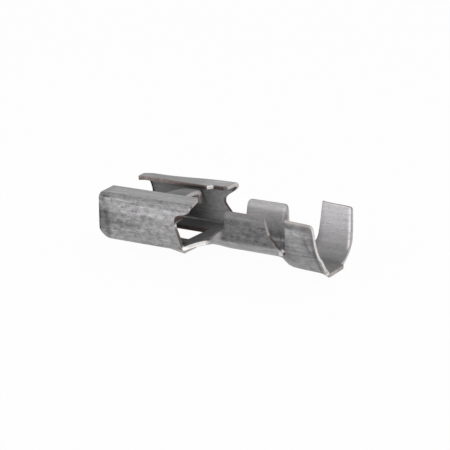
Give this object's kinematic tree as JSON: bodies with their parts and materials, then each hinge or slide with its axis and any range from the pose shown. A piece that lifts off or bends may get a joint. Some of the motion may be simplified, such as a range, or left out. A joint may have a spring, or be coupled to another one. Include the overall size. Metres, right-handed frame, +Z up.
{
  "type": "female crimp terminal",
  "caption": "Female crimp terminal folded from one tin-plated strip, with a slotted mating box, inner spring tongue, locking lance and open conductor and insulation barrels.",
  "frame": {"origin": "on the mid-plane, where the mouth of the mating box meets the underside of its floor", "axes": "+X from the mouth towards the wire end, +Y across the terminal, +Z up through the slot between the curls"},
  "size_m": [0.0171, 0.0072, 0.0046],
  "materials": {
    "tinned_strip": "tin plated, drawn and rubbed"
  },
  "bodies": {
    "root": {"terminal": "tinned_strip"}
  },
  "joints": []
}
